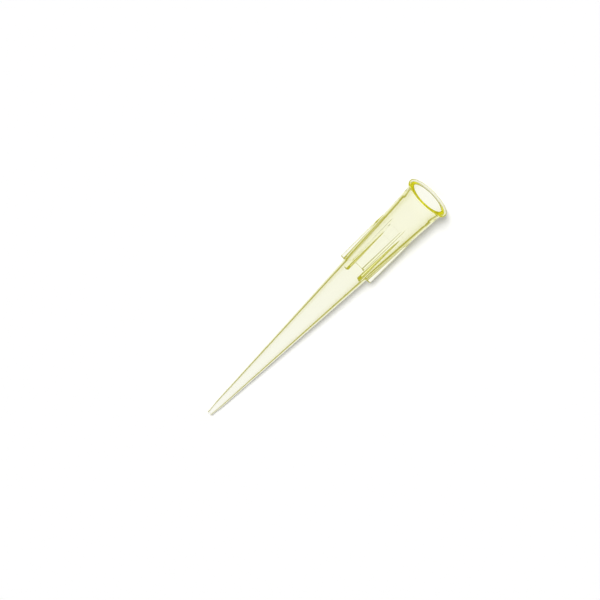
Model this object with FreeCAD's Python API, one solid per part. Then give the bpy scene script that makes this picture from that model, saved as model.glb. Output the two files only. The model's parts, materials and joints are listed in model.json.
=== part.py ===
import FreeCAD, Part

import math
import os

# A pipette tip for volumes up to 200 microlitres: one moulding of clear yellow polypropylene.
# It is modelled upright on its own axis, with the outlet end at height 0 and the mouth on top,
# and then laid down on a flat surface the way such a tip comes to rest.
# All sizes are millimetres. Heights run along the axis from the outlet; depths run down from the mouth.

# Lengths along the axis
TIP_LENGTH = 51.0
POINT_LENGTH = 2.4       # steeper end cone at the outlet
OUTLET_LAND = 0.5        # straight stretch of the outlet's bore
HEAD_LENGTH = 16.15      # mouth down to the rib ends
COLLAR_LENGTH = 7.95     # mouth down to the collar's lower edge
SEAL_DEPTH = 2.1         # mouth down to the top of the sealing land
SEAL_LENGTH = 1.0        # straight stretch that grips the pipette's nozzle
FLANGE_THICKNESS = 0.36

# Bore
OUTLET_BORE_RADIUS = 0.27
POINT_BORE_RADIUS = 0.45     # at the top of the point
NECK_BORE_RADIUS = 1.82      # at the rib ends, where the working cone meets the socket
SEAL_BORE_RADIUS = 2.51
MOUTH_FLARE = 0.22           # the mouth's bore is this much wider than the sealing land

# Walls, measured out from the bore
OUTLET_WALL = 0.12
POINT_WALL = 0.205
NECK_WALL = 0.45             # working cone, just below the rib ends
RIBBED_WALL = 0.525          # between the ribs
COLLAR_WALL = 0.57           # at the collar's lower edge
MOUTH_WALL = 0.47            # at the flange
FLANGE_LIP = 0.47            # overhang of the flange outside the collar

# Ribs
RIB_COUNT = 6
RIB_THICKNESS = 0.52
RIB_DEPTH = 0.64             # how far a rib's lower end stands out of the wall
RIB_PROUD = 0.14             # how far a rib stands out of the collar's lower edge
RIB_RUNOUT = 1.4             # length over which a rib sinks into the collar

# Edge radii
FLANGE_RIM_RADIUS = 0.04     # where its face meets its outside
FLANGE_EDGE_RADIUS = 0.2     # its lower edge
FLANGE_ROOT_RADIUS = 0.2     # where it stands out of the collar
MOUTH_EDGE_RADIUS = 0.04     # the mouth's inner edge
OUTLET_EDGE_RADIUS = 0.03
RIB_EDGE_RADIUS = 0.04

# Heights worked out from the lengths
neck_height = TIP_LENGTH - HEAD_LENGTH
collar_height = TIP_LENGTH - COLLAR_LENGTH
seal_top = TIP_LENGTH - SEAL_DEPTH
seal_bottom = seal_top - SEAL_LENGTH
flange_bottom = TIP_LENGTH - FLANGE_THICKNESS


def between(height, low, high):
    """Radius at a height on the straight line between two (radius, height) points."""
    share = (height - low[1]) / (high[1] - low[1])
    return low[0] + share * (high[0] - low[0])


# Bore outline from the outlet to the mouth, as (radius, height) points
mouth_radius = SEAL_BORE_RADIUS + MOUTH_FLARE
bore_line = [
    (OUTLET_BORE_RADIUS, 0.0),
    (OUTLET_BORE_RADIUS, OUTLET_LAND),
    (POINT_BORE_RADIUS, POINT_LENGTH),
    (NECK_BORE_RADIUS, neck_height),
    (SEAL_BORE_RADIUS, seal_bottom),
    (SEAL_BORE_RADIUS, seal_top),
    (mouth_radius, TIP_LENGTH),
]
collar_bore_radius = between(collar_height, bore_line[3], bore_line[4])

# Outside radii, worked out from the bore outwards
outlet_radius = OUTLET_BORE_RADIUS + OUTLET_WALL
point_radius = POINT_BORE_RADIUS + POINT_WALL
neck_radius = NECK_BORE_RADIUS + NECK_WALL
rib_root_radius = NECK_BORE_RADIUS + RIBBED_WALL
wall_top_radius = collar_bore_radius + RIBBED_WALL
collar_bottom_radius = collar_bore_radius + COLLAR_WALL
collar_top_radius = mouth_radius + MOUTH_WALL
flange_radius = collar_top_radius + FLANGE_LIP
rib_end_radius = rib_root_radius + RIB_DEPTH
rib_top_radius = collar_bottom_radius + RIB_PROUD


def revolved(outline):
    """Solid of revolution about the axis from a closed outline of (radius, height) points."""
    points = [FreeCAD.Vector(radius, 0, height) for radius, height in outline]
    face = Part.Face(Part.makePolygon(points + points[:1]))
    return face.revolve(FreeCAD.Vector(), FreeCAD.Vector(0, 0, 1), 360)


def circle_at(edge, radius, height):
    """True where an edge is the full circle of this radius and height about the axis."""
    if not isinstance(edge.Curve, Part.Circle):
        return False
    centre = edge.Curve.Center
    near = math.hypot(centre.x, centre.y) < 1e-6 and abs(centre.z - height) < 1e-6
    return near and abs(edge.Curve.Radius - radius) < 1e-6


def rounded(solid, radius, circles):
    """Solid with the edges on the given (radius, height) circles filleted."""
    edges = [edge for edge in solid.Edges if any(circle_at(edge, *circle) for circle in circles)]
    return solid.makeFillet(radius, edges)


def body_blank():
    """Outside of the tip without its ribs or bore: cones, the two small ledges and the flange."""
    blank = revolved([
        (0.0, 0.0),
        (outlet_radius, 0.0),
        (point_radius, POINT_LENGTH),
        (neck_radius, neck_height),
        (rib_root_radius, neck_height),
        (wall_top_radius, collar_height),
        (collar_bottom_radius, collar_height),
        (collar_top_radius, flange_bottom),
        (flange_radius, flange_bottom),
        (flange_radius, TIP_LENGTH),
        (0.0, TIP_LENGTH),
    ])
    blank = rounded(blank, FLANGE_ROOT_RADIUS, [(collar_top_radius, flange_bottom)])
    blank = rounded(blank, FLANGE_EDGE_RADIUS, [(flange_radius, flange_bottom)])
    blank = rounded(blank, FLANGE_RIM_RADIUS, [(flange_radius, TIP_LENGTH)])
    return rounded(blank, OUTLET_EDGE_RADIUS, [(outlet_radius, 0.0)])


def rib():
    """One rib along +X: a blade from the axis out, which follows the wall and sinks into the collar."""
    runout_height = collar_height + RIB_RUNOUT
    collar_line = ((collar_bottom_radius, collar_height), (collar_top_radius, flange_bottom))
    runout_radius = between(runout_height, *collar_line)
    # the edge runs on as far again inside the collar, so that the two surfaces cross cleanly
    buried_height = runout_height + RIB_RUNOUT
    buried_radius = 2 * runout_radius - rib_top_radius
    outline = [
        (0.0, neck_height),
        (rib_end_radius, neck_height),
        (rib_top_radius, collar_height),
        (buried_radius, buried_height),
        (0.0, buried_height),
    ]
    side = [FreeCAD.Vector(radius, -RIB_THICKNESS / 2, height) for radius, height in outline]
    blade = Part.Face(Part.makePolygon(side + side[:1])).extrude(FreeCAD.Vector(0, RIB_THICKNESS, 0))
    outer_edges = [edge for edge in blade.Edges if runs_along_rib(edge)]
    return blade.makeFillet(RIB_EDGE_RADIUS, outer_edges)


def runs_along_rib(edge):
    """True for the long outer edges of a blade, on either side of it."""
    first, last = [vertex.Point for vertex in edge.Vertexes]
    outside = min(first.x, last.x) > rib_root_radius / 2
    return outside and abs(first.z - last.z) > RIB_RUNOUT / 2


def upright_tip():
    """The whole tip on its own axis, with the first rib along +X."""
    blades = []
    for number in range(RIB_COUNT):
        blade = rib()
        blade.rotate(FreeCAD.Vector(), FreeCAD.Vector(0, 0, 1), number * 360 / RIB_COUNT)
        blades.append(blade)
    bore = revolved([(0.0, 0.0)] + bore_line + [(0.0, TIP_LENGTH)])
    moulding = body_blank().fuse(blades).cut(bore).removeSplitter()
    moulding = rounded(moulding, MOUTH_EDGE_RADIUS, [(mouth_radius, TIP_LENGTH)])
    [solid] = moulding.Solids
    return solid


def rib_reach(angle):
    """How far a rib's lower end reaches out from the axis in a direction at this angle from the rib."""
    depth = rib_end_radius - RIB_EDGE_RADIUS
    half_width = RIB_THICKNESS / 2 - RIB_EDGE_RADIUS
    return depth * math.cos(angle) + half_width * math.sin(angle) + RIB_EDGE_RADIUS


def angle_of_reach(reach):
    """The angle from a rib, away from it on one side, at which its lower end reaches out this far."""
    depth = rib_end_radius - RIB_EDGE_RADIUS
    half_width = RIB_THICKNESS / 2 - RIB_EDGE_RADIUS
    corner_angle = math.atan2(half_width, depth)
    return corner_angle + math.acos((reach - RIB_EDGE_RADIUS) / math.hypot(depth, half_width))


def resting_angles(balance_height):
    """Tilt of the axis, and angle of the first rib from straight down, at which the tip lies still.

    From the side, what can touch the surface is the outlet's rim, the shoulder of the point, the ends
    of the two lowest ribs and the flange. The tip lies on the two of them that its weight presses
    down. Where the ribs hang clear, it rolls until one rib's end touches too.
    """
    half_pitch = math.pi / RIB_COUNT
    rib_pair = (rib_reach(half_pitch), neck_height)
    contacts = [
        (outlet_radius, 0.0),
        (point_radius, POINT_LENGTH),
        rib_pair,
        (flange_radius, flange_bottom + FLANGE_EDGE_RADIUS),
    ]
    pairs = [(low, high) for low in contacts for high in contacts if low[1] <= balance_height < high[1]]
    low, high = max(pairs, key=lambda pair: between(balance_height, *pair))
    tilt = math.atan2(high[0] - low[0], high[1] - low[1])
    free_reach = between(neck_height, low, high)
    first_rib = half_pitch
    if rib_pair not in (low, high) and free_reach < rib_end_radius:
        first_rib = angle_of_reach(free_reach)
    return math.degrees(tilt), math.degrees(first_rib)


def laid_down(solid):
    """The tip lying on height 0 with its mouth towards +X, centred over the origin."""
    tilt, first_rib = resting_angles(solid.CenterOfMass.z)
    lying = solid.copy()
    lying.rotate(FreeCAD.Vector(), FreeCAD.Vector(0, 0, 1), -first_rib)
    lying.rotate(FreeCAD.Vector(), FreeCAD.Vector(0, 1, 0), 90 - tilt)
    box = lying.optimalBoundingBox(False, False)
    lying.translate(FreeCAD.Vector(-(box.XMin + box.XMax) / 2, -(box.YMin + box.YMax) / 2, -box.ZMin))
    return lying


if __name__ == "__main__":
    os.makedirs("parts", exist_ok=True)
    laid_down(upright_tip()).exportStep("parts/pipette_tip.step")
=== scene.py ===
"""Looks of a clear yellow pipette tip, lying on a white surface.

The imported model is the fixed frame. One fine mesh stands for its only node, with the same sizes but
softer edges and roots on the ribs.
Sizes are millimetres, and heights run along the tip's axis from its outlet.
"""

import json
import math

import bpy
from mathutils import Matrix, Quaternion, Vector


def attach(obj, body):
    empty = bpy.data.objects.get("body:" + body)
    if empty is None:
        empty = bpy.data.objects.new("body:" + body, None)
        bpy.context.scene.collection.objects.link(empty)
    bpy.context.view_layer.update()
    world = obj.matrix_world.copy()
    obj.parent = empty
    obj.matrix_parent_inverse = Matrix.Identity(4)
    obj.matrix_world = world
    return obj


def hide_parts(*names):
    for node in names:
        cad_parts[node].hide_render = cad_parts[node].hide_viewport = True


MM = 0.001

# Lengths along the axis
TIP_LENGTH = 51.0
POINT_LENGTH = 2.4         # steeper end cone at the outlet
OUTLET_LAND = 0.5          # straight stretch of the outlet's bore
HEAD_LENGTH = 16.15        # mouth down to the rib ends
COLLAR_LENGTH = 7.95       # mouth down to the collar's lower edge
SEAL_DEPTH = 2.1           # mouth down to the straight land that grips a nozzle
SEAL_LENGTH = 1.0
FLANGE_THICKNESS = 0.36

# Bore radii
OUTLET_BORE = 0.27
POINT_BORE = 0.45
NECK_BORE = 1.82
SEAL_BORE = 2.51
MOUTH_BORE = 2.73

# Walls, measured out from the bore
OUTLET_WALL = 0.12
POINT_WALL = 0.205
NECK_WALL = 0.45           # just below the rib ends
RIBBED_WALL = 0.525        # between the ribs
COLLAR_WALL = 0.57
MOUTH_WALL = 0.47
FLANGE_LIP = 0.47          # overhang of the flange outside the collar

# Ribs
RIB_COUNT = 6
RIB_HALF_THICKNESS = 0.26
RIB_DEPTH = 0.64           # how far a rib's lower end stands out of the wall
RIB_PROUD = 0.14           # how far a rib stands out of the collar's lower edge
RIB_RUNOUT = 1.4           # length over which a rib sinks into the collar
RIB_EDGE = 0.2             # radius of a rib's long edges
RIB_ROOT = 0.3             # radius of the fillet at its root
ROOT_SHARE = 0.6           # most of a rib's side that its root takes up

# Small edges
FLANGE_EDGE = 0.2
FLANGE_RIM = 0.04
FLANGE_ROOT = 0.2
OUTLET_EDGE = 0.03
MOUTH_EDGE = 0.04
BREAK_DEPTH = 0.07         # steep bevel on the ledge at the rib ends, and round them
BREAK_LENGTH = 0.035

# Fineness of the mesh
ARC_STEPS = 5
FLAT_STEPS = 2             # half of a rib's outer edge
FLANK_STEPS = 6            # a rib's side
WALL_STEPS = 32            # wall between two ribs
RIBBED_STEPS = 10          # along the ribs up to the collar
RUNOUT_STEPS = 14
COLLAR_STEPS = 8
SEAL_STEPS = 3
FLARE_STEPS = 3
SOCKET_STEPS = 12
CONE_STEPS = 24            # the long working cone
POINT_STEPS = 4
OUTLET_STEPS = 2
LEAST_TURN = 0.02          # degrees between neighbouring points of a rib, so that none fall together
GUARD = 0.08               # rings this far from a bend keep its smooth shading short
SHARP_ANGLE = 35.0

# Plastic. The dye and the waves are per metre.
PLASTIC_IOR = 1.49
DYE_COLOUR = (0.99, 0.985, 0.0, 1.0)
DYE_DENSITY = 225.0
ROUGHNESS = (0.02, 0.045)
WAVES_PER_METRE = 700.0
WAVE_DETAIL = 2.0
WAVE_SPREAD = (0.3, 0.7)   # the noise's values that the two ends of the roughness go with
WAVE_HEIGHT = 0.0015

# Light. Directions point away from the tip, and shares are cosines of the angle to them.
WHITE = (1.0, 1.0, 1.0, 1.0)
PAPER_COLOUR = (0.98, 0.98, 0.98, 1.0)
PAPER_SIZE = 4000.0
SHEET_DIRECTION = (-0.356, -0.08, -0.931)
SHEET_SHARES = (0.755, 0.974)
SIDE_COLOUR = (0.42, 0.395, 0.05, 1.0)
END_DIRECTION = (-1.0, 0.0, 0.0)
END_SHARES = (0.45, 0.75)
UPWARD = (0.0, 0.0, 1.0)
HORIZON_SHARES = (-0.01, 0.01)
ROOM_COLOUR = (0.55, 0.55, 0.55, 1.0)
SOFT_COLOUR = (0.33, 0.33, 0.33, 1.0)
KEY_DIRECTION = (0.38, 0.31, 1.0)
KEY_STRENGTH = 2.4
KEY_SPREAD = 20.0
LIGHT_BOUNCES = 128        # light runs far along the wall before it leaves the ring at the mouth
DIFFUSE_BOUNCES = 12

# Camera
CAMERA_TARGET = (-0.163, 2.732, 3.469)
CAMERA_DISTANCE = 291.018
CAMERA_AZIMUTH = 102.586
CAMERA_ELEVATION = 68.621
CAMERA_ROLL = -148.669
CAMERA_LENS = 115.555
SENSOR_WIDTH = 36.0
NEAREST_SEEN = 10.0
FARTHEST_SEEN = 20000.0


def between(height, low, high):
    """Value at a height on the straight line between two (height, value) pairs."""
    share = (height - low[0]) / (high[0] - low[0])
    return low[1] + share * (high[1] - low[1])


# Heights from the outlet, worked out from the lengths
neck_height = TIP_LENGTH - HEAD_LENGTH
collar_height = TIP_LENGTH - COLLAR_LENGTH
runout_height = collar_height + RIB_RUNOUT
seal_top = TIP_LENGTH - SEAL_DEPTH
seal_bottom = seal_top - SEAL_LENGTH
flange_bottom = TIP_LENGTH - FLANGE_THICKNESS

# Outside radii, worked out from the bore outwards
collar_bore = between(collar_height, (neck_height, NECK_BORE), (seal_bottom, SEAL_BORE))
outlet_radius = OUTLET_BORE + OUTLET_WALL
point_radius = POINT_BORE + POINT_WALL
neck_radius = NECK_BORE + NECK_WALL
wall_foot_radius = NECK_BORE + RIBBED_WALL
wall_top_radius = collar_bore + RIBBED_WALL
collar_foot_radius = collar_bore + COLLAR_WALL
collar_top_radius = MOUTH_BORE + MOUTH_WALL
flange_radius = collar_top_radius + FLANGE_LIP
rib_foot_reach = wall_foot_radius + RIB_DEPTH
rib_top_reach = collar_foot_radius + RIB_PROUD

# The collar's outside as (height, radius) at its two ends
collar_line = ((collar_height, collar_foot_radius), (flange_bottom, collar_top_radius))


# ---------------------------------------------------------------- cross sections


def arc(centre, radius, start, stop):
    """Points on an arc about a centre, with angles in degrees."""
    points = []
    for step in range(ARC_STEPS + 1):
        turn = math.radians(start + (stop - start) * step / ARC_STEPS)
        points.append((centre[0] + radius * math.cos(turn), centre[1] + radius * math.sin(turn)))
    return points


def half_rib(wall, reach, inset):
    """Points as (angle, radius) from the middle of a rib's edge round its root to the wall.

    What lies below the wall's surface is lifted onto it.
    """
    half = RIB_HALF_THICKNESS - inset
    corner = reach - inset - RIB_EDGE       # how far out the middle of the rounded edge is
    wall_reach = math.sqrt(wall ** 2 - half ** 2)
    root = min(RIB_ROOT, ROOT_SHARE * max(corner - wall_reach, 0.0))
    root_centre = (math.sqrt((wall + root) ** 2 - (half + root) ** 2), half + root)
    root_stop = math.degrees(math.atan2(root_centre[1], root_centre[0])) - 180
    flank_end = min(corner, root_centre[0])
    points = []
    for step in range(FLAT_STEPS):
        points.append((corner + RIB_EDGE, (half - RIB_EDGE) * step / FLAT_STEPS))
    points += arc((corner, half - RIB_EDGE), RIB_EDGE, 0, 90)
    for step in range(1, FLANK_STEPS):
        points.append((corner + (flank_end - corner) * step / FLANK_STEPS, half))
    points += arc(root_centre, root, -90, root_stop)
    polar = []
    least_turn = math.radians(LEAST_TURN)
    turned = -least_turn
    for out, across in points:
        turned = max(math.atan2(across, out), turned + least_turn)
        polar.append((turned, max(math.hypot(out, across), wall)))
    return polar


def section(wall, reach, inset=0.0):
    """(angle, radius) points once round: six ribs, each followed by the wall up to the next."""
    pitch = 2 * math.pi / RIB_COUNT
    half = half_rib(wall - inset, reach, inset)
    root = half[-1][0]
    one = list(half)
    for step in range(1, WALL_STEPS):
        one.append((root + (pitch - 2 * root) * step / WALL_STEPS, wall - inset))
    for angle, radius in reversed(half[1:]):
        one.append((pitch - angle, radius))
    return [(angle + pitch * rib, radius) for rib in range(RIB_COUNT) for angle, radius in one]


def ring(height, angles, radius):
    """Points of a plain circle at the given angles."""
    return [Vector((radius * math.cos(a), radius * math.sin(a), height)) for a in angles]


def ribbed_ring(height, around):
    """Points of a ribbed section."""
    return [Vector((r * math.cos(a), r * math.sin(a), height)) for a, r in around]


# ---------------------------------------------------------------- outlines


def cone_stretch(low, high, count):
    """(radius, height) points along a cone, with a guard point near each end."""
    heights = [low[1] + GUARD]
    for step in range(1, count):
        heights.append(low[1] + (high[1] - low[1]) * step / count)
    heights.append(high[1] - GUARD)
    return [(between(h, (low[1], low[0]), (high[1], high[0])), h) for h in heights]


def lower_outline():
    """Outside from the outlet's face up to the rib ends."""
    outlet = (outlet_radius, 0.0)
    shoulder = (point_radius, POINT_LENGTH)
    neck = (neck_radius, neck_height)
    points = arc((outlet_radius - OUTLET_EDGE, OUTLET_EDGE), OUTLET_EDGE, -90, 0)
    points += cone_stretch(outlet, shoulder, POINT_STEPS)
    points.append(shoulder)
    points += cone_stretch(shoulder, neck, CONE_STEPS)
    points.append(neck)
    return points


def foot_section():
    """The section right at the rib ends, set in by the depth of their bevel."""
    return section(wall_foot_radius, rib_foot_reach, BREAK_DEPTH)


def ribbed_rings():
    """Rings from the rib ends to where the ribs have sunk into the collar."""
    wall = ((neck_height, wall_foot_radius), (collar_height, wall_top_radius))
    edge = ((neck_height, rib_foot_reach), (collar_height, rib_top_reach))
    runout = ((collar_height, rib_top_reach), (runout_height, between(runout_height, *collar_line)))
    rings = [ribbed_ring(neck_height, foot_section())]
    low = neck_height + BREAK_LENGTH
    for step in range(RIBBED_STEPS + 1):
        height = low + (collar_height - low) * step / RIBBED_STEPS
        rings.append(ribbed_ring(height, section(between(height, *wall), between(height, *edge))))
    for step in range(RUNOUT_STEPS + 1):
        height = collar_height + RIB_RUNOUT * step / RUNOUT_STEPS
        around = section(between(height, *collar_line), between(height, *runout))
        rings.append(ribbed_ring(height, around))
    return rings


def collar_outline():
    """Outside from the ends of the ribs' runouts over the flange to the mouth."""
    root = (collar_top_radius + FLANGE_ROOT, flange_bottom - FLANGE_ROOT)
    edge = (flange_radius - FLANGE_EDGE, flange_bottom + FLANGE_EDGE)
    rim = (flange_radius - FLANGE_RIM, TIP_LENGTH - FLANGE_RIM)
    mouth = (MOUTH_BORE + MOUTH_EDGE, TIP_LENGTH - MOUTH_EDGE)
    points = []
    for step in range(1, COLLAR_STEPS + 1):
        height = runout_height + (root[1] - runout_height) * step / COLLAR_STEPS
        points.append((between(height, *collar_line), height))
    points += arc(root, FLANGE_ROOT, 180, 90)[1:]
    points += arc(edge, FLANGE_EDGE, -90, 0)
    points += arc(rim, FLANGE_RIM, 0, 90)
    points += arc(mouth, MOUTH_EDGE, 90, 180)
    return points


def bore_outline():
    """Inside from the mouth down to the outlet."""
    stretches = [
        ((SEAL_BORE, seal_top), (MOUTH_BORE, TIP_LENGTH), FLARE_STEPS),
        ((SEAL_BORE, seal_bottom), (SEAL_BORE, seal_top), SEAL_STEPS),
        ((NECK_BORE, neck_height), (SEAL_BORE, seal_bottom), SOCKET_STEPS),
        ((POINT_BORE, POINT_LENGTH), (NECK_BORE, neck_height), CONE_STEPS),
        ((OUTLET_BORE, OUTLET_LAND), (POINT_BORE, POINT_LENGTH), POINT_STEPS),
        ((OUTLET_BORE, 0.0), (OUTLET_BORE, OUTLET_LAND), OUTLET_STEPS),
    ]
    points = []
    for low, high, count in stretches:
        points += reversed(cone_stretch(low, high, count))
        points.append(low)
    return points


# ---------------------------------------------------------------- the piece


def tip_rings():
    """Every ring of the tip in order: up the outside and down the bore."""
    ribbed = ribbed_rings()
    foot_angles = [angle for angle, _ in foot_section()]
    top_angles = [math.atan2(point.y, point.x) for point in ribbed[-1]]
    rings = [ring(height, foot_angles, radius) for radius, height in lower_outline()]
    rings += ribbed
    rings += [ring(height, top_angles, radius) for radius, height in collar_outline() + bore_outline()]
    return rings


def tip_mesh():
    """The tip's closed surface on its own axis."""
    rings = tip_rings()
    count = len(rings[0])
    vertices = [point * MM for points in rings for point in points]
    faces = []
    for row in range(len(rings)):
        here = row * count
        after = (row + 1) % len(rings) * count
        for column in range(count):
            beside = (column + 1) % count
            faces.append((here + column, here + beside, after + beside, after + column))
    mesh = bpy.data.meshes.new("clear_tip")
    mesh.from_pydata([tuple(vertex) for vertex in vertices], [], faces)
    mesh.validate()
    mesh.shade_smooth()
    mesh.set_sharp_from_angle(angle=math.radians(SHARP_ANGLE))
    return mesh


def resting_matrix(record):
    """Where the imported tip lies: its own axis and first rib, from the record's mounts."""
    mounts = {mount["name"]: mount for mount in record["mounts"]}
    axis = Vector(mounts["flange_face"]["axis"]).normalized()
    mouth = Vector(mounts["flange_face"]["pos_m"])
    outlet = mouth - axis * TIP_LENGTH * MM
    rib = Vector(mounts["rack_shoulder"]["pos_m"]) - (outlet + axis * neck_height * MM)
    rib = (rib - axis * rib.dot(axis)).normalized()
    turn = Matrix((rib, axis.cross(rib), axis)).transposed().to_4x4()
    return Matrix.Translation(outlet) @ turn


# ---------------------------------------------------------------- materials


def cleared_nodes(material):
    """The nodes and links of a material, emptied."""
    material.use_nodes = True
    material.node_tree.nodes.clear()
    return material.node_tree.nodes, material.node_tree.links


def add_waves(nodes, links, plastic):
    """Gloss that varies a little from place to place, on a surface that is very slightly wavy."""
    place = nodes.new("ShaderNodeTexCoord")
    waves = nodes.new("ShaderNodeTexNoise")
    waves.inputs["Scale"].default_value = WAVES_PER_METRE
    waves.inputs["Detail"].default_value = WAVE_DETAIL
    links.new(place.outputs["Object"], waves.inputs["Vector"])
    gloss = nodes.new("ShaderNodeMapRange")
    gloss.inputs["From Min"].default_value = WAVE_SPREAD[0]
    gloss.inputs["From Max"].default_value = WAVE_SPREAD[1]
    gloss.inputs["To Min"].default_value = ROUGHNESS[0]
    gloss.inputs["To Max"].default_value = ROUGHNESS[1]
    links.new(waves.outputs["Fac"], gloss.inputs["Value"])
    links.new(gloss.outputs["Result"], plastic.inputs["Roughness"])
    relief = nodes.new("ShaderNodeBump")
    relief.inputs["Distance"].default_value = WAVE_HEIGHT * MM
    links.new(waves.outputs["Fac"], relief.inputs["Height"])
    links.new(relief.outputs["Normal"], plastic.inputs["Normal"])


def clear_yellow_plastic():
    """Clear polypropylene. Its yellow dye colours it by the length of plastic that light crosses."""
    material = bpy.data.materials.new("clear_yellow_plastic")
    nodes, links = cleared_nodes(material)
    output = nodes.new("ShaderNodeOutputMaterial")
    plastic = nodes.new("ShaderNodeBsdfPrincipled")
    plastic.inputs["Base Color"].default_value = WHITE
    plastic.inputs["IOR"].default_value = PLASTIC_IOR
    plastic.inputs["Transmission Weight"].default_value = 1.0
    add_waves(nodes, links, plastic)
    links.new(plastic.outputs["BSDF"], output.inputs["Surface"])
    dye = nodes.new("ShaderNodeVolumeAbsorption")
    dye.inputs["Color"].default_value = DYE_COLOUR
    dye.inputs["Density"].default_value = DYE_DENSITY
    links.new(dye.outputs["Volume"], output.inputs["Volume"])
    return material


def white_paper():
    """Matt white paper for the camera. Other rays pass it, and see the surroundings in the world."""
    material = bpy.data.materials.new("white_paper")
    nodes, links = cleared_nodes(material)
    output = nodes.new("ShaderNodeOutputMaterial")
    paper = nodes.new("ShaderNodeBsdfDiffuse")
    paper.inputs["Color"].default_value = PAPER_COLOUR
    passed = nodes.new("ShaderNodeBsdfTransparent")
    path = nodes.new("ShaderNodeLightPath")
    sheet = nodes.new("ShaderNodeMixShader")
    links.new(path.outputs["Is Camera Ray"], sheet.inputs[0])
    links.new(passed.outputs["BSDF"], sheet.inputs[1])
    links.new(paper.outputs["BSDF"], sheet.inputs[2])
    links.new(sheet.outputs["Shader"], output.inputs["Surface"])
    return material


# ---------------------------------------------------------------- stage


def add_floor():
    """The sheet of paper that the tip lies on."""
    mesh = bpy.data.meshes.new("floor")
    half = PAPER_SIZE * MM / 2
    corners = [(-half, -half, 0.0), (half, -half, 0.0), (half, half, 0.0), (-half, half, 0.0)]
    mesh.from_pydata(corners, [], [(0, 1, 2, 3)])
    floor = bpy.data.objects.new("floor", mesh)
    floor.data.materials.append(white_paper())
    bpy.context.scene.collection.objects.link(floor)


def facing_share(tree, ray, towards, shares):
    """0 for rays off a direction and 1 for rays along it, with a soft step between the two shares."""
    alike = tree.nodes.new("ShaderNodeVectorMath")
    alike.operation = "DOT_PRODUCT"
    alike.inputs[1].default_value = Vector(towards).normalized()
    tree.links.new(ray, alike.inputs[0])
    step = tree.nodes.new("ShaderNodeMapRange")
    step.interpolation_type = "SMOOTHSTEP"
    step.inputs["From Min"].default_value = shares[0]
    step.inputs["From Max"].default_value = shares[1]
    tree.links.new(alike.outputs["Value"], step.inputs["Value"])
    return step.outputs["Result"]


def mixed(tree, share, first, second):
    """The first colour where the share is 0 and the second where it is 1."""
    mix = tree.nodes.new("ShaderNodeMix")
    mix.data_type = "RGBA"
    tree.links.new(share, mix.inputs[0])
    for colour, socket in ((first, mix.inputs[6]), (second, mix.inputs[7])):
        if isinstance(colour, tuple):
            socket.default_value = colour
        else:
            tree.links.new(colour, socket)
    return mix.outputs[2]


def turned_share(tree):
    """1 for rays that a surface of the tip has reflected on their way, and 0 for all others."""
    path = tree.nodes.new("ShaderNodeLightPath")
    turned = tree.nodes.new("ShaderNodeMath")
    turned.operation = "GREATER_THAN"
    turned.inputs[1].default_value = 0.5    # reflections are counted whole
    tree.links.new(path.outputs["Glossy Depth"], turned.inputs[0])
    return turned.outputs["Value"]


def surroundings(tree):
    """What is seen in and through the tip.

    There is a grey room above, and white below for light that comes straight through. Light that
    the walls have turned comes from a lit white sheet, with dim olive beside it. A white card stands
    beyond the outlet end.
    """
    ray = tree.nodes.new("ShaderNodeTexCoord").outputs["Generated"]
    on_sheet = facing_share(tree, ray, SHEET_DIRECTION, SHEET_SHARES)
    on_card = facing_share(tree, ray, END_DIRECTION, END_SHARES)
    upward = facing_share(tree, ray, UPWARD, HORIZON_SHARES)
    beside = mixed(tree, turned_share(tree), WHITE, SIDE_COLOUR)
    below = mixed(tree, on_sheet, beside, WHITE)
    around = mixed(tree, upward, below, ROOM_COLOUR)
    return mixed(tree, on_card, around, WHITE)


def add_world():
    """White behind everything, an even soft light on the paper, and the surroundings in the tip."""
    world = bpy.data.worlds.new("studio")
    bpy.context.scene.world = world
    world.use_nodes = True
    tree = world.node_tree
    path = tree.nodes.new("ShaderNodeLightPath")
    seen = mixed(tree, path.outputs["Is Camera Ray"], surroundings(tree), WHITE)
    seen = mixed(tree, path.outputs["Is Diffuse Ray"], seen, SOFT_COLOUR)
    tree.links.new(seen, tree.nodes["Background"].inputs["Color"])


def add_key():
    """The lamp that throws the shadow, beside the camera. It isn't mirrored in the tip."""
    lamp = bpy.data.lights.new("key", "SUN")
    lamp.energy = KEY_STRENGTH
    lamp.angle = math.radians(KEY_SPREAD)
    key = bpy.data.objects.new("key", lamp)
    key.visible_glossy = False
    key.visible_transmission = False
    key.rotation_mode = "QUATERNION"
    key.rotation_quaternion = Vector(KEY_DIRECTION).to_track_quat("Z", "Y")
    bpy.context.scene.collection.objects.link(key)


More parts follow.
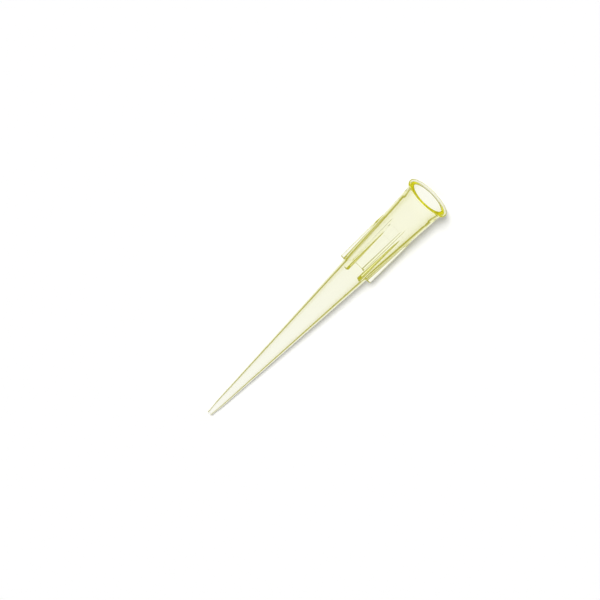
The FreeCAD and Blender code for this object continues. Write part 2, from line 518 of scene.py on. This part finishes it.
def add_camera():
    """Seen from above, past the mouth end, at the photograph's angle."""
    azimuth = math.radians(CAMERA_AZIMUTH)
    elevation = math.radians(CAMERA_ELEVATION)
    back = Vector((
        math.sin(azimuth) * math.cos(elevation),
        -math.cos(azimuth) * math.cos(elevation),
        math.sin(elevation),
    ))
    data = bpy.data.cameras.new("camera")
    data.sensor_width = SENSOR_WIDTH
    data.lens = CAMERA_LENS
    data.clip_start = NEAREST_SEEN * MM
    data.clip_end = FARTHEST_SEEN * MM
    camera = bpy.data.objects.new("camera", data)
    camera.location = (Vector(CAMERA_TARGET) + back * CAMERA_DISTANCE) * MM
    roll = Quaternion((0, 0, 1), math.radians(CAMERA_ROLL))
    camera.rotation_mode = "QUATERNION"
    camera.rotation_quaternion = (-back).to_track_quat("-Z", "Y") @ roll
    bpy.context.scene.collection.objects.link(camera)
    bpy.context.scene.camera = camera


def set_view():
    """Plain colours, and enough bounces for clear plastic."""
    scene = bpy.context.scene
    scene.view_settings.view_transform = "Standard"
    scene.cycles.max_bounces = LIGHT_BOUNCES
    scene.cycles.diffuse_bounces = DIFFUSE_BOUNCES
    scene.cycles.transmission_bounces = LIGHT_BOUNCES
    scene.cycles.glossy_bounces = LIGHT_BOUNCES
    scene.cycles.blur_glossy = 0.0


# ---------------------------------------------------------------- the scene


def add_tip(record):
    """The visual tip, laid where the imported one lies, in its place."""
    mesh = tip_mesh()
    mesh.transform(resting_matrix(record))
    mesh.materials.append(clear_yellow_plastic())
    tip = bpy.data.objects.new("clear_tip", mesh)
    bpy.context.scene.collection.objects.link(tip)
    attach(tip, "root")
    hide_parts("pipette_tip")


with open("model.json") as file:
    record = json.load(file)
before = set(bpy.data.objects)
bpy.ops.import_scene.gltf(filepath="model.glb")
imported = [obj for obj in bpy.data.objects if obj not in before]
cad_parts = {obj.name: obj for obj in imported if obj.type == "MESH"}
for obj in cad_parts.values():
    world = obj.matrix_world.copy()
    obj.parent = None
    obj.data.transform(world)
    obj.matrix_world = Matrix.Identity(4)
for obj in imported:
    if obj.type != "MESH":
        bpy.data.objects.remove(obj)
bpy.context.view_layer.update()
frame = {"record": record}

add_tip(frame["record"])
add_floor()
add_world()
add_key()
add_camera()
set_view()
